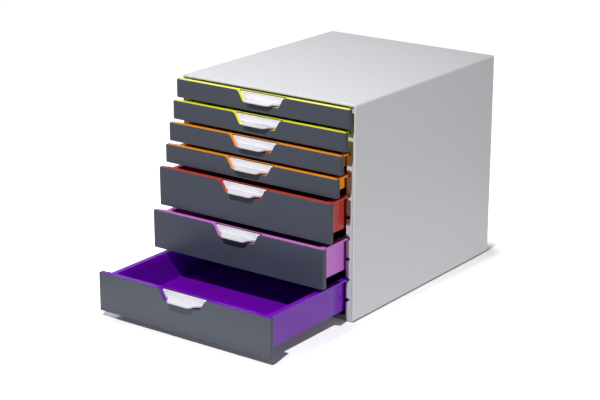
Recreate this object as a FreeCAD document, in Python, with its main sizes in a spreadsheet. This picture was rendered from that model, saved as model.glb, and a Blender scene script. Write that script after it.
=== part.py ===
"""Desktop drawer unit: a light grey housing with seven coloured pull-out trays.

Millimetres, +Z up. The front faces -Y, and the origin is on the desk, under the middle of
the housing. The drawers stand open as a fan, the lowest one the furthest.

A drawer is modelled in a frame of its own: x from its middle, y backwards from the face of its
front, z upwards from the top edge of its front. Its Placement then puts it into the housing.
"""
import FreeCAD, Part
import os
import re

import Sketcher
from FreeCAD import Vector

# Driving dimensions: name, millimetres, what it measures
SIZES = [
    ("casing_width", 280.0, "over the sides of the housing"),
    ("casing_depth", 345.5, "housing from its front rim to its back, without the drawer fronts"),
    ("side_wall", 2.5, "wall of the sleeve at its sides"),
    ("roof_thickness", 3.2, "wall of the sleeve at its top"),
    ("floor_thickness", 2.8, "wall of the sleeve at its bottom"),
    ("sleeve_radius", 2.5, "rounding of the sleeve's four long edges"),
    ("sill_height", 4.0, "front sill over the sleeve's floor"),
    ("sill_depth", 3.0, "front sill from front to back"),
    ("sill_clearance", 6.2, "air between the sill and the lowest tray"),
    ("foot_height", 1.2, "rubber foot below the sleeve"),
    ("foot_diameter", 16.0, "rubber foot"),
    ("foot_inset", 20.0, "middle of a foot from the sides and ends of the housing"),
    ("back_thickness", 2.5, "back panel"),
    ("back_flange_depth", 8.0, "back panel with the rim that plugs into the sleeve"),
    ("back_flange_wall", 2.0, "rim of the back panel"),
    ("groove_pitch", 28.2, "from one runner groove to the next, and height of one drawer unit"),
    ("flange_thickness", 2.6, "runner flange along the tray's side"),
    ("flange_engagement", 3.4, "how far the flange reaches into its groove"),
    ("flange_gap", 1.5, "air above and below the flange in its groove"),
    ("groove_end_gap", 2.6, "air beside the flange in its groove"),
    ("channel_wall", 1.6, "wall of the channel round a groove"),
    ("runner_back_gap", 1.9, "air between the channels and the sleeve"),
    ("runner_sheet", 2.0, "sheet that joins the channels"),
    ("runner_end_plate", 3.0, "front and rear end plates of a runner panel"),
    ("runner_clearance", 0.6, "air between the highest channel and the roof"),
    ("side_clearance", 2.5, "air between the tray and the runner panel"),
    ("tray_wall", 1.8, "walls of a tray"),
    ("tray_floor", 1.8, "floor of a tray"),
    ("shallow_lift", 2.6, "underside of a shallow tray above the lower edge of its front"),
    ("deep_lift", 4.5, "underside of a deep tray above the lower edge of its front"),
    ("tray_rear_gap", 3.5, "air behind a closed tray"),
    ("flange_drop", 3.2, "runner flange below the top edge of the front"),
    ("travel", 250.0, "from closed to the stop"),
    ("stop_length", 10.0, "stop nib along the flange"),
    ("stop_width", 2.8, "stop nib across the flange"),
    ("stop_gap", 0.4, "air above and below the stop nib in the groove"),
    ("stop_clearance", 0.5, "air between the stop nib and the end plate at full travel"),
    ("front_inset", 0.2, "end of a front inside the housing's side"),
    ("front_gap", 3.4, "air between two fronts"),
    ("front_depth", 7.0, "front with its end returns, front to back"),
    ("face_thickness", 1.5, "face of a front"),
    ("return_thickness", 1.6, "end and lower returns of a front"),
    ("plate_thickness", 1.8, "tray's own front plate, behind the dark front"),
    ("closing_gap", 1.7, "air between a closed drawer's front plate and the housing"),
    ("ledge_thickness", 1.8, "coloured ledge along the top of the front"),
    ("ledge_gap", 0.2, "air between the ledge and the end returns"),
    ("notch_top_half", 37.8, "half width of the handle notch at the top edge"),
    ("notch_low_half", 29.0, "half width of the handle notch at its bottom"),
    ("notch_depth", 15.0, "handle notch from the top edge down"),
    ("notch_top_radius", 6.0, "rounding where the top edge turns into the notch"),
    ("notch_low_radius", 4.0, "rounding at the bottom of the notch"),
    ("collar_wall", 1.6, "coloured collar round the notch"),
    ("holder_drop", 1.7, "top of the label holder below the top edge"),
    ("holder_thickness", 1.6, "back plate of the label holder"),
    ("holder_gap", 0.4, "air between the label holder and the collar"),
    ("holder_radius", 3.6, "rounding of the back plate's lower corners"),
    ("tongue_root_drop", 9.9, "top of the pull tongue below the top edge, at its root"),
    ("tongue_tip_drop", 10.9, "top of the pull tongue below the top edge, at its tip"),
    ("tongue_low_drop", 12.6, "underside of the pull tongue below the top edge"),
    ("tongue_reach", 8.5, "tip of the pull tongue in front of the face"),
    ("tongue_half", 20.5, "half width of the pull tongue"),
    ("tongue_radius", 6.5, "rounding of the tongue's tip, seen from above"),
    ("tongue_root_half", 28.6, "half width of the tongue at the back plate"),
    ("tongue_neck", 1.0, "where the tongue starts to widen, in front of the face"),
    ("tongue_edge_radius", 0.6, "rounding of the tongue's tip, seen from the side"),
    ("window_top_gap", 1.1, "label window below the top of the holder"),
    ("window_height", 6.2, "label window"),
    ("window_margin", 2.4, "end of the window inside the end of the holder"),
    ("window_thickness", 0.6, "clear window"),
    ("card_thickness", 0.4, "label card"),
    ("opened_1", 2.5, "how far drawer 1 stands open"),
    ("opened_2", 10.5, "how far drawer 2 stands open"),
    ("opened_3", 19.5, "how far drawer 3 stands open"),
    ("opened_4", 28.0, "how far drawer 4 stands open"),
    ("opened_5", 42.0, "how far drawer 5 stands open"),
    ("opened_6", 56.5, "how far drawer 6 stands open"),
    ("opened_7", 166.5, "how far drawer 7 stands open"),
]
NAMES = {name for name, _, _ in SIZES}

# Counts: for each drawer the groove that it hangs in and its height in units, then the grooves a side
DRAWERS = [(1, 1), (2, 1), (3, 1), (4, 1), (5, 2), (7, 2), (9, 2)]
GROOVES = sum(units for _, units in DRAWERS)

# Places across the housing, from the middle
HALF_WIDTH = "(casing_width / 2)"
HALF_DEPTH = "(casing_depth / 2)"
HALF_INSIDE = f"({HALF_WIDTH} - side_wall)"
GROOVE_DEPTH = "(flange_engagement + groove_end_gap)"
RUNNER_DEPTH = f"({GROOVE_DEPTH} + channel_wall + runner_back_gap)"
RUNNER_FACE = f"({HALF_INSIDE} - {RUNNER_DEPTH})"
TRAY_HALF = f"({RUNNER_FACE} - side_clearance)"
FLANGE_HALF = f"({RUNNER_FACE} + flange_engagement)"
FRONT_HALF = f"({HALF_WIDTH} - front_inset)"

# Heights above the desk
FLOOR_TOP = "(foot_height + floor_thickness)"
FRONT_LOW = f"({FLOOR_TOP} + sill_height + sill_clearance - deep_lift)"
FRONT_TOP = f"({FRONT_LOW} + {GROOVES} * groove_pitch - front_gap)"
GROOVE_HEIGHT = "(flange_thickness + 2 * flange_gap)"
GROOVE_TOP = f"({FRONT_TOP} - flange_drop - flange_thickness / 2)"
CEILING = f"({GROOVE_TOP} + {GROOVE_HEIGHT} / 2 + channel_wall + runner_clearance)"
ROOF = f"({CEILING} + roof_thickness)"

# Depths along the housing and along a drawer
RUNNER_END = f"({HALF_DEPTH} - back_flange_depth)"
FRONT_STACK = "(front_depth + plate_thickness)"
TRAY_REAR = f"({RUNNER_END} + {HALF_DEPTH} - tray_rear_gap + closing_gap + {FRONT_STACK})"
STOP_START = f"({FRONT_STACK} + closing_gap + travel + runner_end_plate + stop_clearance)"

# The handle, in the drawer's own frame
COLLAR_LOW = "(notch_depth + collar_wall)"
NOTCH_LEAN = "((notch_top_half - notch_low_half) / notch_depth)"
HOLDER_FRONT = "(front_depth - holder_thickness)"
HOLDER_LOW = "(notch_depth - holder_gap)"
WINDOW_TOP = "(holder_drop + window_top_gap)"
WINDOW_LOW = f"({WINDOW_TOP} + window_height)"
WINDOW_HALF = f"(notch_top_half - {NOTCH_LEAN} * {WINDOW_LOW} - holder_gap - window_margin)"

# The two axes of each sketch plane, and the one plane whose normal points against the third axis
PLANES = {"XY_Plane": "xy", "XZ_Plane": "xz", "YZ_Plane": "yz"}
TURNED_PLANE = "XZ_Plane"
NEAR = 1e-4
THROUGH = 1.0

doc = FreeCAD.newDocument("drawer_unit")
sheet = doc.addObject("Spreadsheet::Sheet", "Sizes")
for row, (name, size, meaning) in enumerate(SIZES, 1):
    sheet.set(f"A{row}", meaning)
    sheet.set(f"B{row}", str(size))
    sheet.setAlias(f"B{row}", name)
doc.recompute()

pieces = []


def formula(text):
    """The text of an expression, with each size named in its sheet."""
    return re.sub(r"[a-z]\w*", lambda word: f"Sizes.{word[0]}" if word[0] in NAMES else word[0], str(text))


def value(text):
    """What an expression comes to, as a number."""
    return float(sheet.evalExpression(formula(text)))


def bind(target, prop, text):
    """Drives a property of an object by an expression."""
    target.setExpression(prop, formula(text))


def put(target, x="0", y="0", z="0"):
    """Places an object by three expressions."""
    for axis, text in zip("xyz", (x, y, z)):
        bind(target, f"Placement.Base.{axis}", text)


def piece(label, target):
    """Marks an object as a finished piece under the name that it is known by."""
    target.Label = label
    pieces.append(target)
    return target


def box(name, x, y, z):
    """A block between two expressions along each axis."""
    block = doc.addObject("Part::Box", name)
    for prop, (low, high) in zip(("Length", "Width", "Height"), (x, y, z)):
        bind(block, prop, f"{high} - ({low})")
    put(block, x[0], y[0], z[0])
    return block


def fuse(name, shapes):
    """Several shapes as one solid."""
    joined = doc.addObject("Part::MultiFuse", name)
    joined.Shapes = shapes
    joined.Refine = True
    return joined


def cut(name, base, tool):
    """One shape less another."""
    rest = doc.addObject("Part::Cut", name)
    rest.Base = base
    rest.Tool = tool
    rest.Refine = True
    return rest


def common(name, one, other):
    """What two shapes share."""
    shared = doc.addObject("Part::Common", name)
    shared.Base = one
    shared.Tool = other
    shared.Refine = True
    return shared


def outline(body, name, plane, corners, start):
    """A closed sketch of straight lines whose corners are expressions, set off from its plane."""
    sketch = body.newObject("Sketcher::SketchObject", name)
    support = next(feature for feature in body.Origin.OriginFeatures if feature.Role == plane)
    sketch.AttachmentSupport = (support, "")
    sketch.MapMode = "FlatFace"
    bind(sketch, "AttachmentOffset.Base.z", f"-({start})" if plane == TURNED_PLANE else start)
    points = [Vector(value(u), value(v), 0) for u, v in corners]
    last = len(points) - 1
    for k, point in enumerate(points):
        sketch.addGeometry(Part.LineSegment(point, points[0 if k == last else k + 1]))
    for k in range(len(points)):
        sketch.addConstraint(Sketcher.Constraint("Coincident", k, 2, 0 if k == last else k + 1, 1))
    for k, (u, v) in enumerate(corners):
        for kind, text in (("DistanceX", u), ("DistanceY", v)):
            index = sketch.addConstraint(Sketcher.Constraint(kind, -1, 1, k, 1, value(text)))
            bind(sketch, f"Constraints[{index}]", text)
    return sketch


def pad(body, name, plane, corners, start, length):
    """An outline carried along the axis that its plane leaves out."""
    feature = body.newObject("PartDesign::Pad", name)
    feature.Profile = outline(body, f"{name}_outline", plane, corners, start)
    feature.Reversed = plane == TURNED_PLANE
    bind(feature, "Length", length)
    return feature


def corner_edges(shape, plane, corners):
    """The edges that stand square on the sketch plane at the given corners."""
    spots = [(value(u), value(v)) for u, v in corners]
    found = []
    for number, edge in enumerate(shape.Edges, 1):
        ends = [[getattr(vertex.Point, axis) for axis in PLANES[plane]] for vertex in edge.Vertexes]
        if any(all(abs(a - u) < NEAR and abs(b - v) < NEAR for a, b in ends) for u, v in spots):
            found.append(f"Edge{number}")
    return found


def prism(name, plane, corners, start, length, rounds=()):
    """A padded outline, with some of its corners rounded: (radius, corner numbers) pairs."""
    body = doc.addObject("PartDesign::Body", name)
    tip = pad(body, f"{name}_pad", plane, corners, start, length)
    for radius, numbers in rounds:
        tip.recompute(True)
        rounded = body.newObject("PartDesign::Fillet", f"{name}_round")
        rounded.Base = (tip, corner_edges(tip.Shape, plane, [corners[k] for k in numbers]))
        bind(rounded, "Radius", radius)
        tip = rounded
    return body


def pattern(body, name, feature):
    """A feature repeated down the grooves."""
    repeat = body.newObject("PartDesign::LinearPattern", name)
    repeat.Originals = [feature]
    upright = next(axis for axis in body.Origin.OriginFeatures if axis.Role == "Z_Axis")
    repeat.Direction = (upright, [""])
    repeat.Reversed = True
    repeat.Occurrences = GROOVES
    bind(repeat, "Length", f"{GROOVES - 1} * groove_pitch")
    body.Tip = repeat
    return repeat


def mirrored(u, v):
    """Corners on the right of the middle, then the same on the left, as one closed outline."""
    right = list(zip(u, v))
    return right + [(f"-({a})", b) for a, b in reversed(right)]


def rectangle(u, v):
    """The corners of a rectangle between two expressions each way."""
    return [(u[0], v[0]), (u[1], v[0]), (u[1], v[1]), (u[0], v[1])]


def both(half):
    """A span that reaches as far to the left of the middle as to the right."""
    return f"-{half}", half


def sides(near, far):
    """The same span on the left and on the right of the middle."""
    return ("left", (f"-({far})", f"-({near})")), ("right", (near, far))


# Housing

def make_sleeve():
    """The four-sided outer shell, with a sill across its front."""
    around = mirrored([HALF_WIDTH, HALF_WIDTH], ["foot_height", ROOF])
    shell = prism("sleeve_outside", "XZ_Plane", around, f"-{HALF_DEPTH}", "casing_depth",
                  [("sleeve_radius", range(4))])
    inside = box("sleeve_inside", both(HALF_INSIDE),
                 (f"-{HALF_DEPTH} - {THROUGH}", f"{HALF_DEPTH} + {THROUGH}"), (FLOOR_TOP, CEILING))
    sill = box("sleeve_sill", both(RUNNER_FACE), (f"-{HALF_DEPTH}", f"-{HALF_DEPTH} + sill_depth"),
               (FLOOR_TOP, f"{FLOOR_TOP} + sill_height"))
    piece("housing_sleeve", fuse("sleeve", [cut("sleeve_tube", shell, inside), sill]))


def make_back():
    """The back panel, a shallow lid that plugs into the rear of the sleeve."""
    block = box("back_block", both(HALF_INSIDE), (RUNNER_END, HALF_DEPTH), (FLOOR_TOP, CEILING))
    hollow = box("back_hollow", both(f"({HALF_INSIDE} - back_flange_wall)"),
                 (f"{RUNNER_END} - {THROUGH}", f"{HALF_DEPTH} - back_thickness"),
                 (f"{FLOOR_TOP} + back_flange_wall", f"{CEILING} - back_flange_wall"))
    piece("rear_panel", cut("back", block, hollow))


def make_runners():
    """The two inner side panels: a sheet with ten channels, closed by an end plate front and rear."""
    body = doc.addObject("PartDesign::Body", "runner")
    front, rear = f"-{HALF_DEPTH}", RUNNER_END
    sheet_back = f"{RUNNER_FACE} + runner_sheet"
    plan = [(RUNNER_FACE, front), (HALF_INSIDE, front), (HALF_INSIDE, f"{front} + runner_end_plate"),
            (sheet_back, f"{front} + runner_end_plate"), (sheet_back, f"{rear} - runner_end_plate"),
            (HALF_INSIDE, f"{rear} - runner_end_plate"), (HALF_INSIDE, rear), (RUNNER_FACE, rear)]
    pad(body, "runner_sheet_pad", "XY_Plane", plan, FLOOR_TOP, f"{CEILING} - {FLOOR_TOP}")

    half = f"({GROOVE_HEIGHT} / 2)"
    low, high = f"{GROOVE_TOP} - {half}", f"{GROOVE_TOP} + {half}"
    deep = f"{RUNNER_FACE} + {GROOVE_DEPTH}"
    around = rectangle((RUNNER_FACE, f"{deep} + channel_wall"),
                       (f"{low} - channel_wall", f"{high} + channel_wall"))
    channel = pad(body, "channel", "XZ_Plane", around, front, f"{rear} - ({front})")
    pattern(body, "channels", channel)

    hollow = rectangle((f"{RUNNER_FACE} - {THROUGH}", deep), (low, high))
    mouth = [(RUNNER_FACE, low), (deep, f"{GROOVE_TOP} - flange_thickness / 2"),
             (deep, f"{GROOVE_TOP} + flange_thickness / 2"), (RUNNER_FACE, high)]
    behind = f"{front} + runner_end_plate"
    for name, corners, start, end in (("groove", hollow, behind, f"{rear} + {THROUGH}"),
                                      ("mouth", mouth, f"{front} - {THROUGH}", behind)):
        pocket = body.newObject("PartDesign::Pocket", name)
        pocket.Profile = outline(body, f"{name}_outline", "XZ_Plane", corners, start)
        bind(pocket, "Length", f"{end} - ({start})")
        pattern(body, f"{name}s", pocket)
    piece("right_runner_panel", body)

    left = doc.addObject("Part::Mirroring", "left_runner")
    left.Source = body
    left.Normal = Vector(1, 0, 0)
    piece("left_runner_panel", left)


def make_feet():
    """Four round rubber feet under the sleeve."""
    across, along = f"({HALF_WIDTH} - foot_inset)", f"({HALF_DEPTH} - foot_inset)"
    for end, y in (("front", f"-{along}"), ("rear", along)):
        for side, x in (("left", f"-{across}"), ("right", across)):
            foot = doc.addObject("Part::Cylinder", f"{end}_{side}_foot_pad")
            bind(foot, "Radius", "foot_diameter / 2")
            bind(foot, "Height", "foot_height")
            put(foot, x, y)
            piece(f"{end}_{side}_foot", foot)


# Drawers

def make_tray(tag, height, lift):
    """The coloured tray: tub, runner flanges with stop nibs, front plate, top ledge and notch collar."""
    top, low = "-flange_drop", f"-({height}) + {lift}"
    block = box(f"{tag}_tub_block", both(TRAY_HALF), ("front_depth", TRAY_REAR), (low, top))
    hollow = box(f"{tag}_tub_hollow", both(f"({TRAY_HALF} - tray_wall)"),
                 (FRONT_STACK, f"{TRAY_REAR} - tray_wall"), (f"{low} + tray_floor", f"{top} + {THROUGH}"))
    parts = [cut(f"{tag}_tub", block, hollow)]

    for side, span in sides(TRAY_HALF, FLANGE_HALF):
        parts.append(box(f"{tag}_{side}_flange", span, ("front_depth", TRAY_REAR),
                         (f"{top} - flange_thickness", top)))
    middle, nib = f"({top} - flange_thickness / 2)", f"({GROOVE_HEIGHT} / 2 - stop_gap)"
    for side, span in sides(f"{FLANGE_HALF} - stop_width", FLANGE_HALF):
        parts.append(box(f"{tag}_{side}_stop", span, (STOP_START, f"{STOP_START} + stop_length"),
                         (f"{middle} - {nib}", f"{middle} + {nib}")))
    parts.append(box(f"{tag}_plate", both(FLANGE_HALF), ("front_depth", FRONT_STACK), (low, "0")))

    ledge_end = f"({FRONT_HALF} - return_thickness - ledge_gap)"
    corner = f"(notch_top_half + collar_wall * {NOTCH_LEAN} + collar_wall)"
    strip = mirrored(["notch_low_half", "notch_top_half", ledge_end, ledge_end, corner,
                      "notch_low_half + collar_wall"],
                     ["-notch_depth", "0", "0", "-ledge_thickness", "-ledge_thickness", f"-{COLLAR_LOW}"])
    parts.append(prism(f"{tag}_ledge", "XZ_Plane", strip, "face_thickness", "front_depth - face_thickness",
                       [("notch_top_radius", (1, 10)), ("notch_low_radius", (0, 11))]))
    return fuse(f"{tag}_tray_solid", parts)


def make_front(tag, height):
    """The dark front: a notched face with end and lower returns."""
    low = f"-({height})"
    around = mirrored(["notch_low_half", "notch_top_half", FRONT_HALF, FRONT_HALF],
                      ["-notch_depth", "0", "0", low])
    face = prism(f"{tag}_face", "XZ_Plane", around, "0", "face_thickness",
                 [("notch_top_radius", (1, 6)), ("notch_low_radius", (0, 7))])
    behind = ("face_thickness", "front_depth")
    parts = [face, box(f"{tag}_low_return", both(FRONT_HALF), behind, (low, f"{low} + return_thickness"))]
    for side, span in sides(f"{FRONT_HALF} - return_thickness", FRONT_HALF):
        parts.append(box(f"{tag}_{side}_return", span, behind, (low, "0")))
    return fuse(f"{tag}_front_solid", parts)


def label_slab(name, front, back):
    """A slab in the label holder's window, between two depths behind the holder's surface."""
    around = rectangle(both(WINDOW_HALF), (f"-{WINDOW_LOW}", f"-{WINDOW_TOP}"))
    return prism(name, "XZ_Plane", around, f"{HOLDER_FRONT} + {front}", f"{back} - ({front})")


def make_holder(tag):
    """The white label holder: a back plate in the notch, with the pull tongue that reaches out of it."""
    ends = mirrored([f"notch_top_half - {NOTCH_LEAN} * {drop} - holder_gap" for drop in (HOLDER_LOW, "holder_drop")],
                    [f"-{HOLDER_LOW}", "-holder_drop"])
    plate = prism(f"{tag}_holder_plate", "XZ_Plane", ends, HOLDER_FRONT, "holder_thickness",
                  [("holder_radius", (0, 3))])
    plan = mirrored(["tongue_half", "tongue_half", "tongue_root_half", "tongue_root_half"],
                    ["-tongue_reach", "-tongue_neck", HOLDER_FRONT, "front_depth"])
    profile = [("-tongue_reach", "-tongue_tip_drop"), ("-tongue_reach", "-tongue_low_drop"),
               ("front_depth", "-tongue_low_drop"), ("front_depth", "-tongue_root_drop"),
               (HOLDER_FRONT, "-tongue_root_drop")]
    tongue = common(f"{tag}_tongue",
                    prism(f"{tag}_tongue_plan", "XY_Plane", plan, "-tongue_low_drop",
                          "tongue_low_drop - tongue_root_drop", [("tongue_radius", (0, 7))]),
                    prism(f"{tag}_tongue_profile", "YZ_Plane", profile, "-tongue_root_half",
                          "2 * tongue_root_half", [("tongue_edge_radius", (0, 1))]))
    pocket = label_slab(f"{tag}_pocket", f"-{THROUGH}", "window_thickness + card_thickness")
    return cut(f"{tag}_holder", fuse(f"{tag}_holder_block", [plate, tongue]), pocket)


def make_drawer(number, groove, units):
    """One drawer's five pieces, hung in its groove and pulled out as far as it stands open."""
    tag = f"drawer_{number}"
    height = f"({units} * groove_pitch - front_gap)"
    made = {
        "tray": make_tray(tag, height, "shallow_lift" if units == 1 else "deep_lift"),
        "front": make_front(tag, height),
        "label_holder": make_holder(tag),
        "label_window": label_slab(f"{tag}_window", "0", "window_thickness"),
        "label_card": label_slab(f"{tag}_card", "window_thickness", "window_thickness + card_thickness"),
    }
    for name, target in made.items():
        put(target, y=f"-({HALF_DEPTH} + closing_gap + {FRONT_STACK} + opened_{number})",
            z=f"{FRONT_TOP} - {groove - 1} * groove_pitch")
        piece(f"{tag}_{name}", target)


make_sleeve()
make_back()
make_runners()
make_feet()
for count, (groove, units) in enumerate(DRAWERS, 1):
    make_drawer(count, groove, units)
doc.recompute()

for made in doc.Objects:
    if "Invalid" in made.State or "Error" in made.State:
        raise RuntimeError(f"{made.Label} failed: {made.State}")
for made in pieces:
    if made.Shape.isNull() or not made.Shape.isValid() or len(made.Shape.Solids) != 1:
        raise RuntimeError(f"{made.Label} is not one valid solid")

os.makedirs("parts", exist_ok=True)
for made in pieces:
    made.Shape.exportStep(os.path.join("parts", f"{made.Label}.step"))
    print(f"{made.Label}: {made.Shape.Volume / 1000:.2f} cm3")
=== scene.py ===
"""A desktop drawer unit: a pale grey casing with seven coloured trays behind charcoal fronts.

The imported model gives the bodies, the joints and the place of every node. The classes below make the
visible skin of each node as numpy surfaces with rounded edges, dress it in a procedural finish, and set
it on its body. Sizes are in millimetres and become metres where a mesh is made. A drawer is worked out
in a frame of its own: x from its middle, y backwards from the face of its front, z up from its top edge.
"""
from __future__ import annotations

import functools
import logging
import math
from dataclasses import dataclass, field, replace
from enum import Enum
from typing import Union

import bpy
import numpy as np
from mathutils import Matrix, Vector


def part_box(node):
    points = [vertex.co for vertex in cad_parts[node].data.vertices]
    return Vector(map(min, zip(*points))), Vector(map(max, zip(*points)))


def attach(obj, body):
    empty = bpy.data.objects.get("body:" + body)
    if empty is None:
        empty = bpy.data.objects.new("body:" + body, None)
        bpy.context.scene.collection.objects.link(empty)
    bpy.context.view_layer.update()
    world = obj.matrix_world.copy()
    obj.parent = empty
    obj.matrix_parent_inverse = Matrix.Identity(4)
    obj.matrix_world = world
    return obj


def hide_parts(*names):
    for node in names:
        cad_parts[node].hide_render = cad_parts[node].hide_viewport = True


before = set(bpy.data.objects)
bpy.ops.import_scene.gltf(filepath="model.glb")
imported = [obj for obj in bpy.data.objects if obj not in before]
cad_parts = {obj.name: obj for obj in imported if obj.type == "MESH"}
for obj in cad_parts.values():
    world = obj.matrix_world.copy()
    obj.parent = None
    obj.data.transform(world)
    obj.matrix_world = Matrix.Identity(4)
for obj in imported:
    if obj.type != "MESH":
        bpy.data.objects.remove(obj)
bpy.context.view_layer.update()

MM = 0.001
ARC_STEPS = 6
# The share of a straight run that the flat strip beside a round edge may take up, and a strip's usual width.
STRIP_SHARE = 0.3
STRIP = 0.2
SHARP_ANGLE = math.radians(35)
LOG = logging.getLogger("drawer_unit")

Rgb = tuple[float, float, float]
Span = tuple[float, float]
Point = tuple[float, float, float]
Value = Union["Wire", float, tuple]


# Surfaces

class Plane(Enum):
    """The plane that an outline is drawn in: its two axes, then the axis it is carried along."""

    XY = (0, 1, 2)
    XZ = (0, 2, 1)

    def place(self, flat: np.ndarray, level: np.ndarray) -> np.ndarray:
        """Sets flat loops at their levels along the third axis.

        Args:
            flat: loops of points in the plane, shape (loops, points, 2).
            level: how far along the third axis each loop lies.

        Returns:
            The loops in space, shape (loops, points, 3).
        """
        space = np.empty(flat.shape[:2] + (3,))
        across, up, along = self.value
        space[..., across] = flat[..., 0]
        space[..., up] = flat[..., 1]
        space[..., along] = level[:, None]
        return space


@dataclass
class Shell:
    """A closed surface: points in millimetres, four-sided faces, and flat caps of many sides."""

    points: np.ndarray
    quads: np.ndarray
    caps: list[np.ndarray]

    def volume(self) -> float:
        """Signed volume: the sum of the tetrahedra between the origin and each face's triangles."""
        first, second, third, fourth = (self.points[self.quads[:, k]] for k in range(4))
        total = np.einsum("ij,ij->", first, np.cross(second, third) + np.cross(third, fourth))
        for cap in self.caps:
            rim = self.points[cap]
            total += np.einsum("j,ij->", rim[0], np.cross(rim[1:-1], rim[2:]))
        return float(total) / 6

    def flipped(self) -> Shell:
        """The same surface with every face turned round."""
        return Shell(self.points, self.quads[:, ::-1], [cap[::-1] for cap in self.caps])

    def outward(self) -> Shell:
        """The same surface with its faces outwards, told by the sign of its volume."""
        return self.flipped() if self.volume() < 0 else self

    def moved(self, x: float, y: float, z: float) -> Shell:
        """The same surface set off by three lengths."""
        return Shell(self.points + np.array([x, y, z]), self.quads, self.caps)

    def mirrored(self) -> Shell:
        """The same surface on the other side of x = 0, with its faces turned back outwards."""
        return Shell(self.points * np.array([-1.0, 1.0, 1.0]), self.quads, self.caps).flipped()

    @staticmethod
    def join(shells: list[Shell]) -> Shell:
        """Several surfaces as one.

        Args:
            shells: the surfaces, whose points are numbered on from one to the next.

        Returns:
            One surface with all their points and faces.
        """
        starts = np.cumsum([0] + [len(shell.points) for shell in shells])
        return Shell(np.concatenate([shell.points for shell in shells]),
                     np.concatenate([shell.quads + start for shell, start in zip(shells, starts)]),
                     [cap + start for shell, start in zip(shells, starts) for cap in shell.caps])


def loft(loops: np.ndarray, ring: bool = False) -> Shell:
    """Skins a stack of closed loops: face (i, j) spans points j and j + 1 of loops i and i + 1.

    Args:
        loops: the stack, shape (loops, points, 3).
        ring: joins the last loop to the first, where otherwise flat caps close both ends.

    Returns:
        The closed surface, faces outwards.
    """
    count, size = loops.shape[:2]
    index = np.arange(count * size).reshape(count, size)
    upper = np.roll(index, -1, axis=0)
    stack = np.stack([index, np.roll(index, -1, axis=1), np.roll(upper, -1, axis=1), upper], axis=-1)
    rows = stack if ring else stack[:-1]
    caps = [] if ring else [index[0, ::-1], index[-1]]
    return Shell(loops.reshape(-1, 3), rows.reshape(-1, 4), caps).outward()


def outline(corners: list[Span], rounds: list[float] | float, least: float = 0.02,
            support: float = 0.8) -> np.ndarray:
    """A closed loop of straight runs joined by circular arcs.

    A corner that turns by an angle t starts and ends its arc at radius * tan(t / 2) from the corner. The
    arc is the rational Bezier curve of those two points and the corner, with middle weight cos(t / 2). One
    more point on either side of each arc keeps the flat faces beside it flat in shading.

    Args:
        corners: the sharp corners in order.
        rounds: the radius at each corner, or one for all.
        least: how far from its corner an arc starts at the least.
        support: how far beyond its arc a corner's last points lie, where there is room.

    Returns:
        The loop, anticlockwise, shape (points, 2).
    """
    sharp = np.asarray(corners, float)
    radius = np.broadcast_to(np.asarray(rounds, float), len(sharp))
    following = np.roll(sharp, -1, axis=0)
    if np.sum(sharp[:, 0] * following[:, 1] - sharp[:, 1] * following[:, 0]) < 0:
        sharp, radius = sharp[::-1], radius[::-1]
    run = np.roll(sharp, -1, axis=0) - sharp
    length = np.linalg.norm(run, axis=1)
    leave = run / length[:, None]
    arrive = np.roll(leave, 1, axis=0)
    turn = np.arccos(np.clip(np.sum(arrive * leave, axis=1), -1, 1))
    back = np.maximum(radius * np.tan(turn / 2), least)
    after = np.minimum(support, STRIP_SHARE * (length - back - np.roll(back, -1)))[:, None]
    before = np.roll(after, 1, axis=0)
    start, end = sharp - back[:, None] * arrive, sharp + back[:, None] * leave
    t = np.linspace(0, 1, ARC_STEPS + 1)[None]
    bend = np.cos(turn / 2)[:, None]
    weights = np.stack([(1 - t) ** 2 * bend ** 0, 2 * t * (1 - t) * bend, t ** 2 * bend ** 0], axis=-1)
    weights /= weights.sum(axis=-1, keepdims=True)
    arc = weights @ np.stack([start, sharp, end], axis=1)
    corner = [(start - before * arrive)[:, None], arc, (end + after * leave)[:, None]]
    return np.concatenate(corner, axis=1).reshape(-1, 2)


def rectangle(low: Span, high: Span, radius: float) -> np.ndarray:
    """A loop round the rectangle between two corners, with round corners."""
    return outline([low, (high[0], low[1]), high, (low[0], high[1])], radius)


def mirror(corners: list[Span]) -> list[Span]:
    """The corners on the other side of the middle, in the order that carries the outline on."""
    return [(-x, y) for x, y in reversed(corners)]


def inward(loop: np.ndarray) -> np.ndarray:
    """For each point of an anticlockwise loop, the step that moves both runs beside it in by one.

    It is the sum of the two runs' left-hand normals over one plus their product.

    Args:
        loop: the loop, shape (points, 2).

    Returns:
        The steps, shape (points, 2).
    """
    run = np.roll(loop, -1, axis=0) - loop
    run /= np.linalg.norm(run, axis=1, keepdims=True)
    leave = np.stack([-run[:, 1], run[:, 0]], axis=1)
    arrive = np.roll(leave, 1, axis=0)
    return (arrive + leave) / (1 + np.sum(arrive * leave, axis=1, keepdims=True))


def quarter(radius: float) -> tuple[np.ndarray, np.ndarray]:
    """A quarter circle in a corner: r (1 - sin a), from r to 0, and r (1 - cos a), from 0 to r."""
    angle = np.linspace(0, math.pi / 2, ARC_STEPS)
    return radius * (1 - np.sin(angle)), radius * (1 - np.cos(angle))


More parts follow.
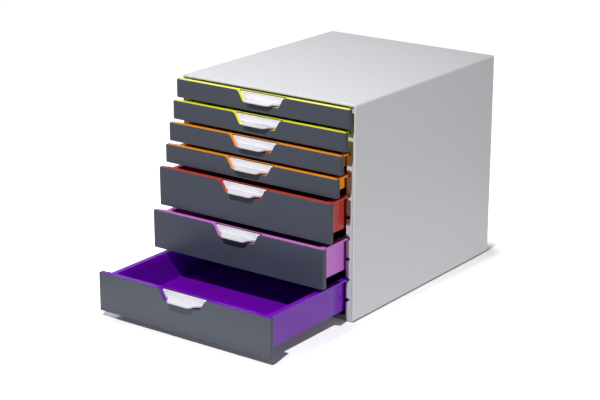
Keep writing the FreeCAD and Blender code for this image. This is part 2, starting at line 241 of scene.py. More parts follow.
def rim_rows(span: Span, edges: Span, support: float) -> tuple[np.ndarray, np.ndarray]:
    """How far a plate's outline is drawn in, and at which level, from face over rim to face.

    At a rim of radius r the outline is drawn in by r (1 - sin a) at a depth of r (1 - cos a), for a from
    0 to a right angle. A rim of radius 0 stays sharp.

    Args:
        span: the levels of the two faces.
        edges: the radius of the rim at either face.
        support: width of the flat strips that a rounded rim ends in.

    Returns:
        The insets and the levels.
    """
    beside = min(support, STRIP_SHARE * (abs(span[1] - span[0]) - sum(edges)))
    inset, level = [], []
    for radius, face, sign in zip(edges, span, (1, -1)):
        fall, rise = quarter(radius)
        drawn = np.r_[radius + support, fall, 0.0] if radius else np.zeros(1)
        depth = np.r_[0.0, rise, radius + beside] if radius else np.zeros(1)
        inset.append(drawn[::sign])
        level.append((face + sign * depth)[::sign])
    return np.concatenate(inset), np.concatenate(level)


def plate(loop: np.ndarray, span: Span, edges: Span, plane: Plane, support: float = STRIP) -> Shell:
    """A flat plate: an outline carried from one face to the other, with quarter circles along both rims.

    Args:
        loop: the outline.
        span: where the two faces lie along the plane's third axis, the lower one first.
        edges: the radius of the rim at either face.
        plane: the plane that the outline is drawn in.
        support: width of the flat strips that a rounded rim ends in.

    Returns:
        The closed surface.
    """
    inset, level = rim_rows(span, edges, support)
    flat = loop[None] + inset[:, None, None] * inward(loop)[None]
    return loft(plane.place(flat, level))


def tube_wall(outer: np.ndarray, inner: np.ndarray, span: Span, edge: float, wall: float,
              support: float = 0.8) -> Shell:
    """The wall of a tube along y: its section, a rectangle with round corners, carried round the outline.

    A point of the section lies a share from 0 to 1 of the way from the outer loop to the inner one.

    Args:
        outer: the outer loop, in x and z.
        inner: the inner loop, with as many points.
        span: where the two rims lie.
        edge: the radius along the rims.
        wall: the usual thickness, which sets the share that the radius takes up.
        support: width of the flat strips beside the rims.

    Returns:
        The closed surface, a ring.
    """
    fall, rise = quarter(edge)
    part, (low, high), gap = rise / wall, span, edge + support
    share = np.r_[0.0, part, 1 - part[::-1], 1.0, 1.0, 1 - part, part[::-1], 0.0]
    level = np.r_[low + gap, low + fall, low + fall[::-1], low + gap,
                  high - gap, high - fall, high - fall[::-1], high - gap]
    flat = outer[None] + share[:, None, None] * (inner - outer)[None]
    return loft(Plane.XZ.place(flat, level), ring=True)


# Shader trees

class Wire:
    """One output of a shader tree. Arithmetic on wires and numbers adds Math nodes."""

    def __init__(self, tree: Tree, socket: bpy.types.NodeSocket) -> None:
        """Holds the tree and the socket."""
        self.tree, self.socket = tree, socket

    def _math(self, operation: str, first: Value, second: Value) -> Wire:
        """A Math node on two values."""
        return self.tree.node("ShaderNodeMath", {"operation": operation}, {0: first, 1: second})

    def __add__(self, other: Value) -> Wire:
        """The sum."""
        return self._math("ADD", self, other)

    def __rsub__(self, other: Value) -> Wire:
        """The difference from a number."""
        return self._math("SUBTRACT", other, self)

    def __mul__(self, other: Value) -> Wire:
        """The product."""
        return self._math("MULTIPLY", self, other)

    __radd__ = __add__
    __rmul__ = __mul__

    def most(self, other: Value) -> Wire:
        """The greater of two values."""
        return self._math("MAXIMUM", self, other)

    def between(self, low: float, high: float) -> Wire:
        """A smooth step from 0 at the first value to 1 at the second."""
        return self.tree.node("ShaderNodeMapRange", {"interpolation_type": "SMOOTHSTEP"},
                              {"Value": self, "From Min": low, "From Max": high})


class Tree:
    """The node tree of one material or of the world."""

    def __init__(self, owner: bpy.types.Material | bpy.types.World) -> None:
        """Empties the owner's tree."""
        owner.use_nodes = True
        self.nodes, self.links = owner.node_tree.nodes, owner.node_tree.links
        self.nodes.clear()

    def node(self, kind: str, settings: dict[str, object] | None = None,
             sockets: dict[str | int, Value] | None = None, output: str | int = 0) -> Wire:
        """Adds any node.

        Args:
            kind: the node's type.
            settings: its properties, which are set first.
            sockets: values or wires of its inputs, by name or by number.
            output: which of its outputs is wanted.

        Returns:
            That output.
        """
        made = self.nodes.new(kind)
        for name, setting in (settings or {}).items():
            setattr(made, name, setting)
        for key, value in (sockets or {}).items():
            if isinstance(value, Wire):
                self.links.new(value.socket, made.inputs[key])
            else:
                made.inputs[key].default_value = value
        return Wire(self, made.outputs[output] if made.outputs else None)

    def place(self) -> Wire:
        """Object coordinates."""
        return self.node("ShaderNodeTexCoord", output="Object")

    def noise(self, at: Wire, size: float, detail: float = 2.0, roughness: float = 0.5) -> Wire:
        """Noise from 0 to 1 whose features are about so many millimetres wide."""
        sockets = {"Vector": at, "Scale": 1 / (size * MM), "Detail": detail, "Roughness": roughness}
        return self.node("ShaderNodeTexNoise", {}, sockets)

    def mix(self, share: Value, first: Value, second: Value) -> Wire:
        """A colour between two colours, whose sockets come after those for numbers and vectors."""
        sockets = {0: share, 6: first, 7: second}
        return self.node("ShaderNodeMix", {"data_type": "RGBA"}, sockets, output=2)

    def bump(self, height: Wire, depth: float, under: Wire | None = None) -> Wire:
        """A normal from a height of 0 to 1 that stands for so many millimetres."""
        sockets = {"Height": height, "Distance": depth * MM, "Strength": 1.0}
        if under is not None:
            sockets["Normal"] = under
        return self.node("ShaderNodeBump", {}, sockets)

    def ray(self, *kinds: str) -> Wire:
        """1 on a ray of one of these kinds, else 0."""
        tests = [self.node("ShaderNodeLightPath", output=f"Is {kind} Ray") for kind in kinds]
        return functools.reduce(Wire.most, tests)

    def surface(self, shader: Wire, kind: str = "ShaderNodeOutputMaterial") -> None:
        """Ends the tree in its output."""
        self.node(kind, {}, {"Surface": shader})


def rgba(colour: Rgb, factor: float = 1.0) -> tuple[float, float, float, float]:
    """A colour times a number, with an alpha of 1."""
    return (*(min(channel * factor, 1.0) for channel in colour), 1.0)


# Finishes

@dataclass(frozen=True)
class Finish:
    """What a piece is made of: a slot of the record, and a material that is made once for all its pieces."""

    slot: str
    colour: Rgb

    @property
    def name(self) -> str:
        """The material's name."""
        return f"finish_{self.slot}"

    def shader(self, tree: Tree) -> Wire:
        """Draws the shader, in the way of each kind of finish."""
        raise NotImplementedError

    def material(self) -> bpy.types.Material:
        """The material of this finish, made once."""
        made = bpy.data.materials.get(self.name)
        if made is None:
            made = bpy.data.materials.new(self.name)
            tree = Tree(made)
            tree.surface(self.shader(tree))
        return made


@dataclass(frozen=True)
class Moulding(Finish):
    """Moulded plastic or rubber: fine pits, a slow wave of the surface, and uneven colour and gloss.

    The colour follows wide clouds and, for the rest, the pits. The gloss follows the smears of handling.
    """

    roughness: float
    grain: float = 0.6
    grain_depth: float = 0.004
    wave: float = 30.0
    wave_depth: float = 0.02
    cloud: float = 45.0
    cloud_share: float = 0.7
    smear: float = 12.0
    mottle: float = 0.03
    gloss_change: float = 0.05
    ior: float = 1.5
    specular: float = 0.5
    variant: str = ""

    @property
    def name(self) -> str:
        """The material's name, with its variant of the slot."""
        return f"finish_{self.slot}{self.variant}"

    def shader(self, tree: Tree) -> Wire:
        """Draws the plastic."""
        at = tree.place()
        cloud = tree.noise(at, self.cloud, 3.0)
        fleck = tree.noise(at, self.grain, 1.0)
        rub = tree.noise(at, self.smear, 4.0, 0.6)
        shade = self.cloud_share * cloud + (1 - self.cloud_share) * fleck
        base = tree.mix(shade, rgba(self.colour, 1 - self.mottle), rgba(self.colour, 1 + self.mottle))
        gloss = self.roughness - self.gloss_change + (2 * self.gloss_change) * rub
        swell = tree.bump(tree.noise(at, self.wave, 1.0), self.wave_depth)
        pits = tree.bump(fleck, self.grain_depth, under=swell)
        return tree.node("ShaderNodeBsdfPrincipled", {},
                         {"Base Color": base, "Roughness": gloss, "Normal": pits, "IOR": self.ior,
                          "Specular IOR Level": self.specular})


@dataclass(frozen=True)
class Card(Finish):
    """Uncoated card: long pale fibres over an even tone."""

    roughness: float = 0.85
    fibre: float = 0.5
    fibre_stretch: float = 4.0
    fibre_depth: float = 0.0005
    tones: Span = (0.98, 1.01)

    def shader(self, tree: Tree) -> Wire:
        """Draws the card."""
        along = tree.node("ShaderNodeMapping", {},
                          {"Vector": tree.place(), "Scale": (1 / self.fibre_stretch, 1.0, 1.0)})
        fibre = tree.noise(along, self.fibre, 3.0, 0.7)
        dark, pale = (rgba(self.colour, tone) for tone in self.tones)
        return tree.node("ShaderNodeBsdfPrincipled", {},
                         {"Base Color": tree.mix(fibre, dark, pale), "Roughness": self.roughness,
                          "Normal": tree.bump(fibre, self.fibre_depth)})


@dataclass(frozen=True)
class ClearSheet(Finish):
    """A clear plastic pane: see-through, glossy, with a haze of handling that lifts its roughness."""

    alpha: float
    haze: float = 6.0
    roughness: float = 0.06
    haze_roughness: float = 0.1
    tones: Span = (0.96, 1.03)

    def shader(self, tree: Tree) -> Wire:
        """Draws the pane."""
        haze = tree.noise(tree.place(), self.haze, 4.0, 0.65)
        dark, pale = (rgba(self.colour, tone) for tone in self.tones)
        gloss = self.roughness + self.haze_roughness * haze
        return tree.node("ShaderNodeBsdfPrincipled", {},
                         {"Base Color": tree.mix(haze, dark, pale), "Roughness": gloss, "Alpha": self.alpha})


def tray_gloss(slot: str, colour: Rgb) -> Moulding:
    """The gloss finish of the trays, in one of their colours."""
    return Moulding(slot, colour, 0.1, wave=18.0, wave_depth=0.015, gloss_change=0.03)


HOUSING = Moulding("housing_grey", (0.555, 0.56, 0.58), 0.42, grain=0.7, grain_depth=0.006, mottle=0.02)
RUBBER = Moulding("foot_rubber", (0.035, 0.035, 0.04), 0.75, grain=0.4, grain_depth=0.02, mottle=0.15)
CHARCOAL = Moulding("front_charcoal", (0.051, 0.060, 0.084), 0.38, grain=0.5, grain_depth=0.006,
                    mottle=0.06, specular=0.25)
WHITE = Moulding("handle_white", (0.78, 0.77, 0.81), 0.3, grain_depth=0.001, wave_depth=0.005,
                 mottle=0.01)
# Painted shade: a darker copy of the white plastic for the pull tongue, which is the same plastic as the label
# holder; it is also given a rougher gloss.
SHADED_WHITE = replace(WHITE, colour=(0.54, 0.53, 0.57), roughness=0.36, variant="_painted_shade")
PAPER = Card("card_paper", (0.87, 0.86, 0.90))
PANE = ClearSheet("window_clear", (0.85, 0.85, 0.9), 0.1)


class TrayColour(Enum):
    """The colours that the trays come in, each with its gloss finish."""

    YELLOW = tray_gloss("tray_yellow", (0.80, 0.76, 0.03))
    ORANGE = tray_gloss("tray_orange", (0.83, 0.27, 0.012))
    RED = tray_gloss("tray_red", (0.43, 0.034, 0.025))
    PINK = tray_gloss("tray_pink", (0.52, 0.15, 0.57))
    VIOLET = tray_gloss("tray_violet", (0.145, 0.003, 0.385))


def add_piece(name: str, shell: Shell, finish: Finish, body: str, node: str) -> None:
    """Makes a surface an object that stands for a node and rides on its body.

    Args:
        name: the object's name.
        shell: its surface, in the frame of the whole object.
        finish: what it is made of.
        body: the body that it rides on.
        node: the node that it stands for.
    """
    mesh = bpy.data.meshes.new(name)
    faces = shell.quads.tolist() + [cap.tolist() for cap in shell.caps]
    mesh.from_pydata((shell.points * MM).tolist(), [], faces)
    mesh.polygons.foreach_set("use_smooth", np.ones(len(faces), bool))
    mesh.set_sharp_from_angle(angle=SHARP_ANGLE)
    mesh.materials.append(finish.material())
    made = bpy.data.objects.new(name, mesh)
    bpy.context.scene.collection.objects.link(made)
    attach(made, body)
    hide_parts(node)
    LOG.info("%s stands for %s on %s: %d faces", name, node, body, len(faces))


def node_box(node: str) -> tuple[np.ndarray, np.ndarray]:
    """A node's lowest and highest corner at rest, in millimetres."""
    low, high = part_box(node)
    return np.array(low) / MM, np.array(high) / MM


# The casing

@dataclass
class Casing:
    """The sleeve with its sill, the rear panel, the two runner panels and the feet."""

    body: str = "housing"
    side_wall: float = 2.5
    roof: float = 3.2
    floor: float = 2.8
    corner: float = 2.5
    inner_corner: float = 0.6
    rim: float = 0.8
    sill_half: float = 128.0
    sill_span: Span = (0.1, 3.0)
    sill_rise: Span = (-0.5, 4.0)
    sill_edge: float = 0.4
    seam: float = 0.15
    back_plate: float = 2.5
    back_corner: float = 1.2
    back_edge: float = 0.7
    back_rim: float = 2.0
    back_rim_lap: float = 0.3
    back_rim_edge: float = 0.5
    end_plate: float = 3.0
    end_edge: float = 0.35
    end_support: float = 0.12
    sheet: float = 2.0
    sheet_lap: float = 0.2
    grooves: int = 10
    groove_pitch: float = 28.2
    groove_drop: float = 5.0
    groove_half: float = 2.8
    mouth_half: float = 1.8
    mouth_round: float = 1.2
    tooth_round: float = 0.5
    groove_depth: float = 6.0
    groove_round: float = 0.3
    channel_wall: float = 1.4
    channel_round: float = 0.1
    foot_sides: int = 48
    foot_edge: float = 0.6

    def sleeve(self) -> Shell:
        """The sleeve, one wall carried round a rounded rectangle, and the sill across its floor."""
        low, high = node_box("housing_sleeve")
        outer = rectangle((low[0], low[2]), (high[0], high[2]), self.corner)
        inner = rectangle((low[0] + self.side_wall, low[2] + self.floor),
                          (high[0] - self.side_wall, high[2] - self.roof), self.inner_corner)
        wall = tube_wall(outer, inner, (low[1], high[1]), self.rim, self.side_wall)
        sunk, top = (low[2] + self.floor + rise for rise in self.sill_rise)
        near, far = (low[1] + depth for depth in self.sill_span)
        bar = rectangle((-self.sill_half, sunk), (self.sill_half, top), self.inner_corner)
        sill = plate(bar, (near, far), (self.sill_edge, self.sill_edge), Plane.XZ)
        return Shell.join([wall, sill])

    def rear_panel(self) -> Shell:
        """The back lid: a plate that fills the sleeve's rear, and the rim on its inner side."""
        low, high = node_box("rear_panel")
        near, far = low[[0, 2]] + self.seam, high[[0, 2]] - self.seam
        face = rectangle(tuple(near), tuple(far), self.back_corner)
        inner = high[1] - self.back_plate
        lid = plate(face, (inner, high[1]), (0.0, self.back_edge), Plane.XZ)
        inside = rectangle(tuple(near + self.back_rim), tuple(far - self.back_rim), self.inner_corner)
        rim = tube_wall(face, inside, (low[1], inner + self.back_rim_lap), self.back_rim_edge, self.back_rim)
        return Shell.join([lid, rim])

    def comb(self, inside: float, middle: np.ndarray, tip: float, back: np.ndarray) -> np.ndarray:
        """The outline of a runner panel seen from the front, with a notch for each groove.

        Args:
            inside: where the panel's near side lies.
            middle: the heights of the notches, from the top down.
            tip: half the height of a notch at its end.
            back: the corners along the far side, from the bottom up.

        Returns:
            The corners.
        """
        across = np.array([0.0, self.groove_depth, self.groove_depth, 0.0]) + inside
        up = np.array([self.groove_half, tip, -tip, -self.groove_half])
        notch = np.stack([np.broadcast_to(across, (len(middle), 4)), middle[:, None] + up], axis=-1)
        foot, head = [[inside, back[0, 1]]], [[inside, back[-1, 1]]]
        return np.concatenate([foot, back, head, notch.reshape(-1, 2)])

    def runner_panel(self) -> Shell:
        """The right-hand runner panel: two end plates, and a folded sheet with a channel behind each groove.

        The front plate ends below the top groove, which is open up to the roof there.
        """
        low, high = node_box("right_runner_panel")
        high = high - np.array([self.seam / 2, 0, 0])
        middle = high[2] - self.groove_drop - self.groove_pitch * np.arange(self.grooves)
        straight = np.array([[high[0], low[2]], [high[0], high[2]]])
        short = np.array([[high[0], low[2]], [high[0], middle[0] - self.mouth_half]])
        tooth = np.array([self.tooth_round, self.mouth_round, self.mouth_round, self.tooth_round])
        rounds = np.r_[np.full(4, self.tooth_round), np.tile(tooth, self.grooves - 1)]
        mouth = outline(self.comb(low[0], middle[1:], self.mouth_half, short), rounds)
        open_end = outline(self.comb(low[0], middle, self.groove_half, straight), self.groove_round)
        reach = self.groove_half + self.channel_wall
        deep = self.groove_depth + self.channel_wall
        across = low[0] + np.array([self.sheet, deep, deep, self.sheet])
        up = middle[::-1, None] + np.array([-reach, -reach, reach, reach])
        folds = np.stack([np.broadcast_to(across, up.shape), up], axis=-1).reshape(-1, 2)
        sheet_back = low[0] + self.sheet
        back = np.concatenate([[[sheet_back, low[2]]], folds, [[sheet_back, high[2]]]])
        folded = outline(self.comb(low[0], middle, self.groove_half, back), self.channel_round)
        front, rear = low[1] + self.end_plate, high[1] - self.end_plate
        sharp, lap = (0.0, 0.0), self.sheet_lap
        return Shell.join([plate(mouth, (low[1], front), (self.end_edge, 0.0), Plane.XZ, self.end_support),
                           plate(folded, (front - lap, rear + lap), sharp, Plane.XZ),
                           plate(open_end, (rear, high[1]), sharp, Plane.XZ)])

    def foot(self, node: str) -> Shell:
        """A round foot: a circle carried up, with its lower rim rounded."""
        low, high = node_box(node)
        middle, radius = (low + high) / 2, (high[0] - low[0]) / 2
        angle = np.linspace(0, 2 * math.pi, self.foot_sides, endpoint=False)
        circle = middle[:2] + radius * np.stack([np.cos(angle), np.sin(angle)], axis=1)
        return plate(circle, (low[2], high[2]), (self.foot_edge, 0.0), Plane.XY)

    def build(self) -> None:
        """Makes every piece of the casing."""
        add_piece("sleeve_shell", self.sleeve(), HOUSING, self.body, "housing_sleeve")
        add_piece("rear_lid", self.rear_panel(), HOUSING, self.body, "rear_panel")
        runner = self.runner_panel()
        add_piece("right_runner_sheet", runner, HOUSING, self.body, "right_runner_panel")
        add_piece("left_runner_sheet", runner.mirrored(), HOUSING, self.body, "left_runner_panel")
        for end in ("front", "rear"):
            for side in ("left", "right"):
                node = f"{end}_{side}_foot"
                add_piece(f"{node}_pad", self.foot(node), RUBBER, self.body, node)


# The drawers

@dataclass
class Handle:
    """The notch in a front, and the white label holder in it with its pull tongue."""

    notch_top: float = 37.8
    notch_low: float = 29.0
    notch_depth: float = 15.0
    notch_rounds: Span = (6.0, 4.0)
    gap: float = 0.4
    back_span: Span = (5.4, 7.0)
    back_drops: Span = (-14.6, -1.7)
    back_rounds: Span = (3.6, 1.0)
    back_edges: Span = (0.45, 0.2)
    pocket_half: float = 29.72
    pocket_drops: Span = (-9.0, -2.8)
    pocket_round: float = 0.8
    pocket_lead: float = 0.2
    pocket_room: float = 0.15
    sheet_round: float = 0.7
    sheet_support: float = 0.08
    pane_thickness: float = 0.6
    pane_sunk: float = 0.03
    pane_edge: float = 0.15
    card_thickness: float = 0.4
    card_room: float = 0.02
    card_edge: float = 0.05
    tongue_half: float = 20.5
    tongue_root: float = 28.6
    tongue_tip: float = -8.5
    tongue_neck: float = -1.0
    tongue_rounds: tuple[float, float, float, float] = (6.5, 4.0, 0.6, 0.2)
    tongue_under: float = -12.6
    tongue_tops: Span = (-10.9, -9.9)
    tongue_edges: Span = (0.5, 0.6)

    def lean(self) -> float:
        """How far either side of the notch comes in for each millimetre down."""
        return (self.notch_top - self.notch_low) / self.notch_depth

    def notch(self) -> tuple[list[Span], list[float]]:
        """The corners of the notch in a front's top edge, from right to left, and their radii."""
        right = [(self.notch_top, 0.0), (self.notch_low, -self.notch_depth)]
        rounds = list(self.notch_rounds)
        return right + mirror(right), rounds + rounds[::-1]

    def back_plate(self) -> Shell:
        """The holder's back: rear face, round rim and front face of a plate, then a step into the pocket."""
        low, high = self.back_drops
        narrow, wide = (self.notch_top - self.gap + self.lean() * drop for drop in (low, high))
        below, above = self.back_rounds
        loop = outline([(-narrow, low), (narrow, low), (wide, high), (-wide, high)],
                       [below, below, above, above])
        inset, level = rim_rows(self.back_span, self.back_edges, STRIP)
        skin = loop[None] + inset[::-1, None, None] * inward(loop)[None]
        (sill, lintel), half, lead = self.pocket_drops, self.pocket_half, self.pocket_lead
        pocket = rectangle((-half, sill), (half, lintel), self.pocket_round)
        well = pocket[None] + np.array([-lead, 0.0, 0.0])[:, None, None] * inward(pocket)[None]
        face = self.back_span[0]
        depth = np.r_[level[::-1], face, face + lead, face + self.pane_thickness + self.card_thickness]
        return loft(Plane.XZ.place(np.concatenate([skin, well]), depth))

    def tongue(self) -> Shell:
        """The pull tongue: its plan carried up between round rims and thinned towards its tip.

        A height above the level underside is multiplied by the thickness there over the thickness at the
        root, and the thickness falls evenly from root to tip.

        Returns:
            The closed surface.
        """
        (face, rear), under, (tip_top, root_top) = self.back_span, self.tongue_under, self.tongue_tops
        right = [(self.tongue_half, self.tongue_tip), (self.tongue_half, self.tongue_neck),
                 (self.tongue_root, face), (self.tongue_root, rear - self.gap)]
        rounds = list(self.tongue_rounds)
        loop = outline(right + mirror(right), rounds + rounds[::-1])
        blank = plate(loop, (under, root_top), self.tongue_edges, Plane.XY)
        points = blank.points.copy()
        top = np.interp(points[:, 1], (self.tongue_tip, face), (tip_top, root_top))
        points[:, 2] = under + (points[:, 2] - under) * (top - under) / (root_top - under)
        return Shell(points, blank.quads, blank.caps)

    def label_sheet(self, span: Span, edge: float) -> Shell:
        """A card or a pane in the label pocket, with a little room round it.

        Args:
            span: where its two faces lie behind the pocket's mouth.
            edge: the radius of its rims.

        Returns:
            The closed surface.
        """
        half, face = self.pocket_half - self.pocket_room, self.back_span[0]
        low, high = self.pocket_drops[0] + self.pocket_room, self.pocket_drops[1] - self.pocket_room
        loop = rectangle((-half, low), (half, high), self.sheet_round)
        return plate(loop, (face + span[0], face + span[1]), (edge, edge), Plane.XZ, self.sheet_support)

    def pane(self) -> Shell:
        """The clear pane, just behind the pocket's mouth."""
        return self.label_sheet((self.pane_sunk, self.pane_thickness), self.pane_edge)

    def card(self) -> Shell:
        """The card between the pane and the back of the pocket."""
        near = self.pane_thickness + self.card_room
        far = self.pane_thickness + self.card_thickness - self.card_room
        return self.label_sheet((near, far), self.card_edge)


@dataclass
class Drawer:
    """One drawer: its tray, its front and its label holder with card and pane."""

    number: int
    colour: TrayColour
    handle: Handle = field(default_factory=Handle)
    tray_half: float = 125.5
    tray_span: Span = (7.7, 344.2)
    rim_reach: float = 0.3
    wall: float = 1.8
    front_wall: float = 1.05
    flange_reach: float = 5.9
    flange_span: Span = (-5.8, -3.2)
    corner: float = 3.0
    flange_corner: float = 3.5
    inner_corner: float = 2.0
    least_corner: float = 0.3
    under_round: float = 1.4
    root_round: float = 0.6
    lip_round: float = 0.5
    floor_round: float = 1.5
    stop_span: Span = (264.0, 274.0)
    stop_width: float = 2.8
    stop_half: float = 2.4
    stop_round: float = 0.8
    stop_edge: float = 0.4
    plate_half: float = 131.4
    plate_span: Span = (7.0, 8.8)
    plate_round: float = 0.8
    plate_edges: Span = (0.3, 0.4)
    ledge_half: float = 138.0
    ledge_span: Span = (1.5, 7.2)
    ledge: float = 1.8
    ledge_round: float = 0.4
    ledge_edge: float = 0.2
    collar: float = 1.6
    collar_round: float = 1.0
    face: float = 1.5
    face_corner: float = 1.2
    face_edge: float = 0.5
    thin_support: float = 0.15
    returns: float = 1.6
    returns_rear: float = 7.0
    returns_lap: float = 0.1
    returns_edge: float = 0.3
    returns_rounds: tuple[float, float, float] = (0.7, 0.5, 0.8)
    place: Point = field(init=False)
    height: float = field(init=False)
    half: float = field(init=False)
    bottom: float = field(init=False)

    def __post_init__(self) -> None:
        """Takes the front's place and height and the height of the tray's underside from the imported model."""
        low, high = node_box(f"drawer_{self.number}_front")
        self.place = (0.0, low[1], high[2])
        self.height = high[2] - low[2]
        self.half = high[0]
        self.bottom = node_box(f"drawer_{self.number}_tray")[0][2] - high[2]

    def tub(self) -> Shell:
        """The tray's tub and flanges: round rectangles stacked from the underside over the rim to the floor.

        Each row gives half the width, the front and rear ends, the corner radius and the height. Going up,
        the rows follow a round bottom edge, the outer wall, the flange out to its tip and back, the inner
        wall and a fillet down to the floor. A length added to a radius is the width of the flat strip
        beside that round edge.

        Returns:
            The closed surface.
        """
        bottom, (under, top), reach = self.bottom, self.flange_span, self.flange_reach
        fall, rise = quarter(self.under_round)
        inset = np.r_[self.under_round + 0.6, fall, 0.0]
        outer_z = np.r_[bottom, bottom + rise, bottom + self.under_round + 1.0]
        root_fall, root_rise = quarter(self.root_round)
        lip_fall, lip_rise = quarter(self.lip_round)
        before_lip = reach - self.lip_round - 0.5
        out = np.r_[0.0, root_rise, self.root_round + 0.6, before_lip, reach - lip_fall,
                    reach - lip_rise, before_lip]
        flange_z = np.r_[under - self.root_round - 1.0, under - root_fall, under, under,
                         under + lip_rise, top - lip_fall, top]
        floor = bottom + self.wall
        floor_fall, floor_rise = quarter(self.floor_round)
        sunk = np.r_[self.lip_round + 0.4, lip_fall, 0.0, 0.0, -floor_rise, -self.floor_round - 0.5]
        inner_z = np.r_[top, top - lip_rise, top - self.lip_round - 0.8,
                        floor + self.floor_round + 0.8, floor + floor_fall, floor]
        share = out / reach
        front, rear = self.tray_span
        half = np.r_[self.tray_half - inset, self.tray_half + out, self.tray_half - self.wall + sunk]
        first = np.r_[front + inset, front - self.rim_reach * share, front + self.front_wall - sunk]
        last = np.r_[rear - inset, rear + self.rim_reach * share, rear - self.wall + sunk]
        radius = np.r_[self.corner - inset, self.corner + (self.flange_corner - self.corner) * share,
                       np.maximum(self.inner_corner + sunk, self.least_corner)]
        loops = np.stack([rectangle((-x, near), (x, far), corner)
                          for x, near, far, corner in zip(half, first, last, radius)])
        return loft(Plane.XY.place(loops, np.r_[outer_z, flange_z, inner_z]))

    def stop(self) -> Shell:
        """The stop nib on the right-hand flange, which meets the runner panel's end plate."""
        tip = self.tray_half + self.flange_reach
        middle = sum(self.flange_span) / 2
        near, far = self.stop_span
        loop = rectangle((tip - self.stop_width, near), (tip, far), self.stop_round)
        return plate(loop, (middle - self.stop_half, middle + self.stop_half),
                     (self.stop_edge, self.stop_edge), Plane.XY)

    def ledge_strip(self) -> Shell:
        """The ledge along the tray's top edge with the collar that lines the notch."""
        grip = self.handle
        shoulder = grip.notch_top + self.collar * (1 - grip.lean())
        right = [(grip.notch_low, -grip.notch_depth), (grip.notch_top, 0.0), (self.ledge_half, 0.0),
                 (self.ledge_half, -self.ledge), (shoulder, -self.ledge),
                 (grip.notch_low + self.collar, -grip.notch_depth - self.collar)]
        rounds = [grip.notch_rounds[1], grip.notch_rounds[0], self.ledge_round, self.ledge_round,
                  self.collar_round, self.collar_round]
        loop = outline(right + mirror(right), rounds + rounds[::-1])
        return plate(loop, self.ledge_span, (self.ledge_edge, 0.0), Plane.XZ, self.thin_support)

    def tray(self) -> Shell:
        """The whole tray: tub, front plate, ledge with collar, and the two stop nibs."""
        loop = rectangle((-self.plate_half, self.bottom), (self.plate_half, 0.0), self.plate_round)
        board = plate(loop, self.plate_span, self.plate_edges, Plane.XZ)
        stop = self.stop()
        return Shell.join([self.tub(), board, self.ledge_strip(), stop, stop.mirrored()])

    def front(self) -> Shell:
        """The charcoal front: a thin face with its notch, and the returns behind its ends and lower edge."""
        notch, rounds = self.handle.notch()
        half, foot, thick, corner = self.half, -self.height, self.returns, self.face_corner
        loop = outline([(-half, foot), (half, foot), (half, 0.0), *notch, (-half, 0.0)],
                       [corner, corner, corner, *rounds, corner])
        face = plate(loop, (0.0, self.face), (self.face_edge, 0.0), Plane.XZ, self.thin_support)
        bent = [(-half, 0.0), (-half, foot), (half, foot), (half, 0.0), (half - thick, 0.0),
                (half - thick, foot + thick), (thick - half, foot + thick), (thick - half, 0.0)]
        end, inner_end, inside = self.returns_rounds
        hook = plate(outline(bent, [end, corner, corner, end, inner_end, inside, inside, inner_end]),
                     (self.face - self.returns_lap, self.returns_rear), (0.0, self.returns_edge), Plane.XZ)
        return Shell.join([face, hook])

    def build(self) -> None:
        """Makes every piece of the drawer, at its place in the whole."""
        grip, tag = self.handle, f"drawer_{self.number}"
        for name, shell, finish, node in (
                ("tray_moulding", self.tray(), self.colour.value, "tray"),
                ("front_cap", self.front(), CHARCOAL, "front"),
                ("label_frame", grip.back_plate(), WHITE, "label_holder"),
                # The pull tongue takes the darker copy of the white plastic: painted shade.
                ("pull_tongue", grip.tongue(), SHADED_WHITE, "label_holder"),
                ("label_pane", grip.pane(), PANE, "label_window"),
                ("label_slip", grip.card(), PAPER, "label_card")):
            add_piece(f"{tag}_{name}", shell.moved(*self.place), finish, tag, f"{tag}_{node}")


# The studio

@dataclass(frozen=True)
class Lamp:
    """A soft round lamp that the camera doesn't see: its place, its aim, its width and its power.

    With a beam it is a spot lamp whose light fades from the middle of that angle to its edge, else a
    panel.
    """

    name: str
    place: Point
    aim: Point
    size: float
    power: float
    beam: float = 0.0

    def build(self) -> None:
        """Makes the lamp."""
        light = bpy.data.lights.new(self.name, "SPOT" if self.beam else "AREA")
        light.energy = self.power
        if self.beam:
            light.spot_size = math.radians(self.beam)
            light.spot_blend = 1.0
            light.shadow_soft_size = self.size / 2
        else:
            light.shape = "DISK"
            light.size = self.size
        made = bpy.data.objects.new(self.name, light)
        made.location = self.place
        beam = Vector(self.aim) - Vector(self.place)
        made.rotation_euler = beam.to_track_quat("-Z", "Y").to_euler()
        made.visible_camera = False
        bpy.context.scene.collection.objects.link(made)


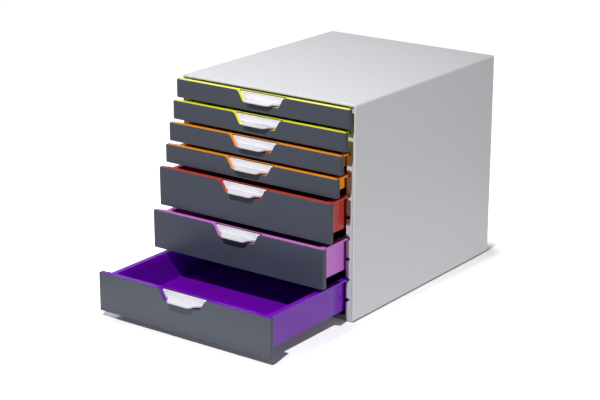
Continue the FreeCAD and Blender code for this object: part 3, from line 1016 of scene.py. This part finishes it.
@dataclass(frozen=True)
class Studio:
    """Camera, lamps, surroundings and a white floor that keeps the object's shadow."""

    camera_place: Point = (1.28, -1.84409, 0.81875)
    camera_yaw: float = 36.244
    camera_pitch: float = 17.835
    camera_lens: float = 100.455
    camera_sensor: float = 36.0
    camera_clip: Span = (0.05, 50.0)
    lamps: tuple[Lamp, ...] = (
        Lamp("front_lamp", (0.3, -1.24, 1.43), (-0.1, -0.38, 0.0), 0.045, 130.0, 70.0),
        Lamp("overhead_panel", (-0.48, 0.02, 1.33), (0.0, -0.05, 0.25), 0.9, 9.8),
        Lamp("right_panel", (1.7, 0.0, 0.07), (0.14, 0.0, 0.15), 0.14, 15.0))
    sky: float = 0.04
    sky_in_gloss: float = 0.4
    floor_reach: float = 4.0
    floor_middle: Point = (0.0, -0.09, 0.0)
    floor_half: Point = (0.14, 0.262, 0.0)
    floor_tones: Span = (0.9, 0.25)
    floor_tone_fade: Span = (0.15, 0.5)
    floor_lift: float = 0.06
    floor_glow_fade: Span = (0.0, 0.06)
    floor_bounce: float = 0.4
    floor_shine: float = 2.4
    floor_shine_fade: Span = (0.26, 0.06)
    floor_shine_front: Span = (-0.33, -0.4)
    floor_shine_left: Span = (-0.1, -0.65)
    floor_shine_left_share: float = 0.5

    def camera(self) -> None:
        """The camera at the photograph's place, turned by its yaw and tilted down by its pitch."""
        made = bpy.data.objects.new("camera", bpy.data.cameras.new("camera"))
        made.location = self.camera_place
        made.rotation_euler = (math.radians(90 - self.camera_pitch), 0.0, math.radians(self.camera_yaw))
        made.data.lens = self.camera_lens
        made.data.sensor_width = self.camera_sensor
        made.data.clip_start, made.data.clip_end = self.camera_clip
        bpy.context.scene.collection.objects.link(made)
        bpy.context.scene.camera = made

    def surroundings(self) -> None:
        """A world that is white to look at, dimmer in gloss, and lights the object softly."""
        world = bpy.data.worlds.new("surroundings")
        bpy.context.scene.world = world
        tree = Tree(world)
        glossy = self.sky_in_gloss * tree.ray("Glossy")
        strength = tree.ray("Camera", "Transmission").most(glossy).most(self.sky)
        white = rgba((1.0, 1.0, 1.0))
        shader = tree.node("ShaderNodeBackground", {}, {"Color": white, "Strength": strength})
        tree.surface(shader, "ShaderNodeOutputWorld")

    def floor_shader(self, tree: Tree) -> Wire:
        """Matt and pale, with a glow for looking rays alone that makes it white away from the object.

        How far a point lies outside the object's footprint is the length of its distance from the
        footprint's middle, less half the footprint, where that is above nothing. In gloss the floor is
        bright in front of the object and, to a share, on its left.

        Args:
            tree: the tree to draw it in.

        Returns:
            The shader.
        """
        at = tree.place()
        left = tree.node("ShaderNodeSeparateXYZ", {}, {0: at}, "X").between(*self.floor_shine_left)
        ahead = tree.node("ShaderNodeSeparateXYZ", {}, {0: at}, "Y").between(*self.floor_shine_front)
        nothing, outside = (0.0, 0.0, 0.0), at
        for operation, vector in (("SUBTRACT", self.floor_middle), ("ABSOLUTE", nothing),
                                  ("SUBTRACT", self.floor_half), ("MAXIMUM", nothing)):
            outside = tree.node("ShaderNodeVectorMath", {"operation": operation}, {0: outside, 1: vector})
        away = tree.node("ShaderNodeVectorMath", {"operation": "LENGTH"}, {0: outside}, output="Value")
        near, far = self.floor_tones
        tone = near + (far - near) * away.between(*self.floor_tone_fade)
        bounced = 1 - (1 - self.floor_bounce) * tree.ray("Diffuse")
        matt = tree.node("ShaderNodeBsdfDiffuse", {}, {"Color": tone * bounced})
        looked_at = tree.ray("Camera", "Transmission")
        glow = away.between(*self.floor_glow_fade).most(self.floor_lift) * looked_at
        bright = (ahead * away.between(*self.floor_shine_fade)).most(self.floor_shine_left_share * left)
        shine = self.floor_shine * bright * tree.ray("Glossy")
        lit = tree.node("ShaderNodeEmission", {}, {"Color": glow + shine})
        return tree.node("ShaderNodeAddShader", {}, {0: matt, 1: lit})

    def floor(self) -> None:
        """A square floor of four faces."""
        mesh = bpy.data.meshes.new("floor")
        across = np.linspace(-self.floor_reach, self.floor_reach, 3)
        grid = np.stack(np.meshgrid(across, across, [0.0]), axis=-1).reshape(-1, 3)
        index = np.arange(len(grid)).reshape(len(across), len(across))
        quads = np.stack([index[:-1, :-1], index[:-1, 1:], index[1:, 1:], index[1:, :-1]], axis=-1)
        mesh.from_pydata(grid.tolist(), [], quads.reshape(-1, 4).tolist())
        material = bpy.data.materials.new("floor_white")
        tree = Tree(material)
        tree.surface(self.floor_shader(tree))
        mesh.materials.append(material)
        made = bpy.data.objects.new("floor", mesh)
        bpy.context.scene.collection.objects.link(made)

    def build(self) -> None:
        """Sets up everything round the object."""
        self.camera()
        for lamp in self.lamps:
            lamp.build()
        self.surroundings()
        self.floor()
        bpy.context.scene.view_settings.view_transform = "Standard"


DRAWER_COLOURS = [TrayColour.YELLOW, TrayColour.YELLOW, TrayColour.ORANGE, TrayColour.ORANGE,
                  TrayColour.RED, TrayColour.PINK, TrayColour.VIOLET]


def main() -> None:
    """Builds the casing, the drawers and the studio."""
    logging.basicConfig(level=logging.INFO, format="%(name)s: %(message)s")
    Casing().build()
    for number, colour in enumerate(DRAWER_COLOURS, 1):
        Drawer(number, colour).build()
    Studio().build()


if __name__ == "__main__":
    main()
